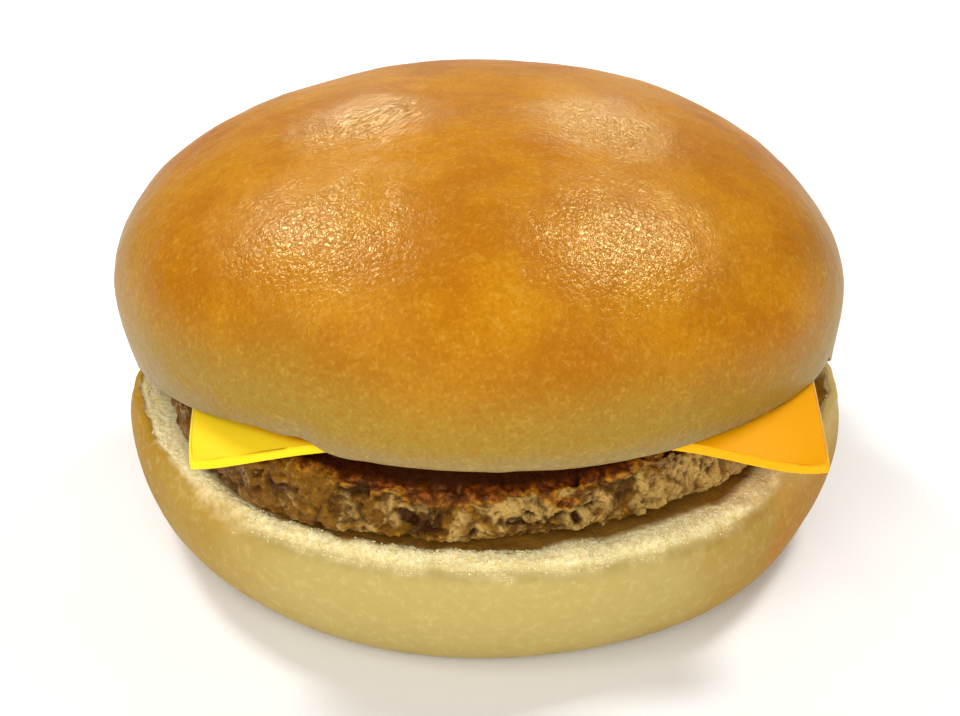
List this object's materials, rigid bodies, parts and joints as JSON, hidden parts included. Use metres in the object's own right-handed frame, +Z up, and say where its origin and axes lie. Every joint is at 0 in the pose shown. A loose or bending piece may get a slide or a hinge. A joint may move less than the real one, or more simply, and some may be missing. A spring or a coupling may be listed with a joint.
{
  "type": "cheeseburger",
  "caption": "Cheeseburger in a round glossy bun, with a thick beef patty and a square cheese slice whose corners poke out.",
  "frame": {"origin": "centre of the flat underside of the bun heel, on the surface the burger rests on", "axes": "+Z up through the bun; -Y is the front, where the bun gapes and the patty shows; +X is to the right, seen from the front"},
  "size_m": [0.1, 0.0992, 0.0633],
  "materials": {
    "bun_crumb_and_crust": "soft pale straw crust, a torn creamy crumb edge",
    "cooked_mince": "coarse grey-brown mince, greasy, with a seared red-brown top edge",
    "cheese": "smooth, waxy, bright yellow-orange",
    "glazed_crust": "glossy golden-brown glaze over fine wrinkles, paler towards the lip"
  },
  "bodies": {
    "root": {"bun_heel": "bun_crumb_and_crust", "beef_patty": "cooked_mince", "cheese_slice": "cheese", "bun_crown": "glazed_crust"}
  },
  "joints": []
}
